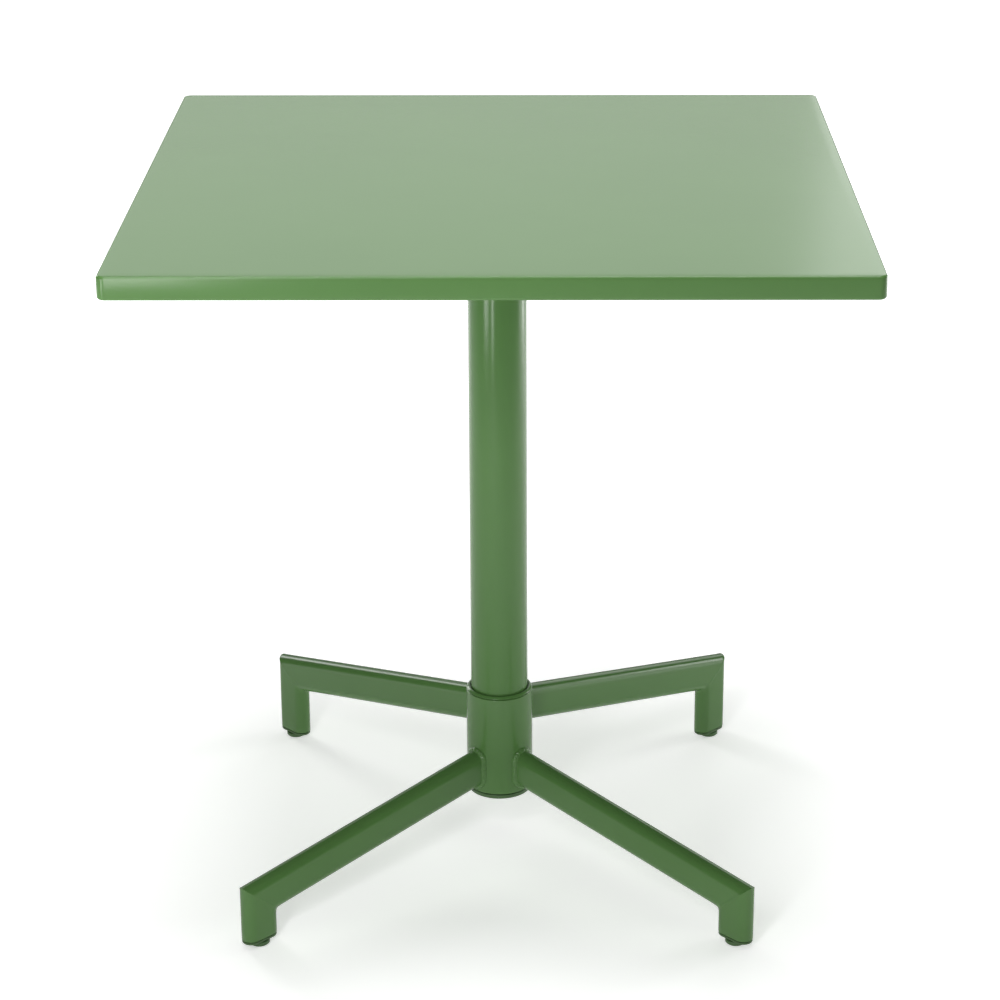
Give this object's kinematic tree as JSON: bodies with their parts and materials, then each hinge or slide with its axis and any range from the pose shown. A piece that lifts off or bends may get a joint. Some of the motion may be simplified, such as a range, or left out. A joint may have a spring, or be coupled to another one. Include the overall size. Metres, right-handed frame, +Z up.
{
  "type": "bistro table",
  "caption": "Square steel cafe table on a round column and splayed base; the top tips up on a clamped pivot so tables nest, and its feet screw to level it.",
  "frame": {"origin": "on the floor under the column's axis, which is the middle of the table's outline", "axes": "+Z up, -Y to the front where the lower pair of arms is, +X to the right seen from the front"},
  "size_m": [0.7, 0.7, 0.73],
  "materials": {
    "green_coat": "satin powder coat, sage green",
    "cast_head": "satin powder coat on a casting",
    "zinc_fastener": "zinc plated",
    "bare_steel": "plain turned steel",
    "friction_nylon": "natural nylon",
    "lever_plastic": "fine-grained black nylon",
    "buffer_rubber": "matt",
    "green_plastic": "moulded to match the coat"
  },
  "bodies": {
    "pedestal": {"column_head": "cast_head", "rest_buffers": "buffer_rubber", "column_tube": "green_coat", "collar_ring": "green_coat", "hub_tube": "green_coat", "hub_welds": "green_coat", "hub_seat": "bare_steel", "tie_rod": "zinc_fastener", "tie_rod_washer": "zinc_fastener", "tie_rod_nut": "zinc_fastener", "hub_cap": "green_plastic", "arm_front_left": "green_coat", "leg_front_left": "green_coat", "leg_plug_front_left": "green_plastic", "plug_insert_front_left": "bare_steel", "arm_front_right": "green_coat", "leg_front_right": "green_coat", "leg_plug_front_right": "green_plastic", "plug_insert_front_right": "bare_steel", "arm_rear_right": "green_coat", "leg_rear_right": "green_coat", "leg_plug_rear_right": "green_plastic", "plug_insert_rear_right": "bare_steel", "arm_rear_left": "green_coat", "leg_rear_left": "green_coat", "leg_plug_rear_left": "green_plastic", "plug_insert_rear_left": "bare_steel"},
    "top": {"table_top": "green_coat", "channel_left": "green_coat", "channel_right": "green_coat", "mounting_plate": "green_coat", "plate_screws": "zinc_fastener", "channel_nuts": "zinc_fastener", "hinge_yoke": "green_coat", "yoke_bolts": "zinc_fastener", "yoke_nuts": "zinc_fastener", "friction_washer_left": "friction_nylon", "friction_washer_right": "friction_nylon", "pivot_bolt": "zinc_fastener", "pivot_washer": "zinc_fastener"},
    "lever": {"clamp_lever": "lever_plastic", "lever_sleeve": "zinc_fastener", "lever_screw": "zinc_fastener"},
    "stud_front_left": {"foot_stud_front_left": "zinc_fastener"},
    "pad_front_left": {"foot_pad_front_left": "green_plastic"},
    "stud_front_right": {"foot_stud_front_right": "zinc_fastener"},
    "pad_front_right": {"foot_pad_front_right": "green_plastic"},
    "stud_rear_right": {"foot_stud_rear_right": "zinc_fastener"},
    "pad_rear_right": {"foot_pad_rear_right": "green_plastic"},
    "stud_rear_left": {"foot_stud_rear_left": "zinc_fastener"},
    "pad_rear_left": {"foot_pad_rear_left": "green_plastic"}
  },
  "joints": [
    {"name": "top_tip", "type": "hinge", "parent": "pedestal", "child": "top", "pos_m": [0, -0.018, 0.682], "axis": [1, 0, 0], "range_deg": [0, 90]},
    {"name": "lever_turn", "type": "hinge", "parent": "top", "child": "lever", "pos_m": [0.042, -0.018, 0.682], "axis": [-1, 0, 0], "range_deg": [0, 90]},
    {"name": "stud_front_left_out", "type": "slide", "parent": "pedestal", "child": "stud_front_left", "axis": [0, 0, -1], "range_m": [0, 0.008]},
    {"name": "pad_front_left_turn", "type": "hinge", "parent": "stud_front_left", "child": "pad_front_left", "pos_m": [-0.239, -0.239, 0], "axis": [0, 0, 1], "range_deg": [0, 2160]},
    {"name": "stud_front_right_out", "type": "slide", "parent": "pedestal", "child": "stud_front_right", "axis": [0, 0, -1], "range_m": [0, 0.008]},
    {"name": "pad_front_right_turn", "type": "hinge", "parent": "stud_front_right", "child": "pad_front_right", "pos_m": [0.239, -0.239, 0], "axis": [0, 0, 1], "range_deg": [0, 2160]},
    {"name": "stud_rear_right_out", "type": "slide", "parent": "pedestal", "child": "stud_rear_right", "axis": [0, 0, -1], "range_m": [0, 0.008]},
    {"name": "pad_rear_right_turn", "type": "hinge", "parent": "stud_rear_right", "child": "pad_rear_right", "pos_m": [0.239, 0.239, 0], "axis": [0, 0, 1], "range_deg": [0, 2160]},
    {"name": "stud_rear_left_out", "type": "slide", "parent": "pedestal", "child": "stud_rear_left", "axis": [0, 0, -1], "range_m": [0, 0.008]},
    {"name": "pad_rear_left_turn", "type": "hinge", "parent": "stud_rear_left", "child": "pad_rear_left", "pos_m": [-0.239, 0.239, 0], "axis": [0, 0, 1], "range_deg": [0, 2160]}
  ],
  "couplings": [
    {"joint": "stud_front_left_out", "follows": "pad_front_left_turn", "m_per_rad": 0.00019894},
    {"joint": "stud_front_right_out", "follows": "pad_front_right_turn", "m_per_rad": 0.00019894},
    {"joint": "stud_rear_right_out", "follows": "pad_rear_right_turn", "m_per_rad": 0.00019894},
    {"joint": "stud_rear_left_out", "follows": "pad_rear_left_turn", "m_per_rad": 0.00019894}
  ]
}
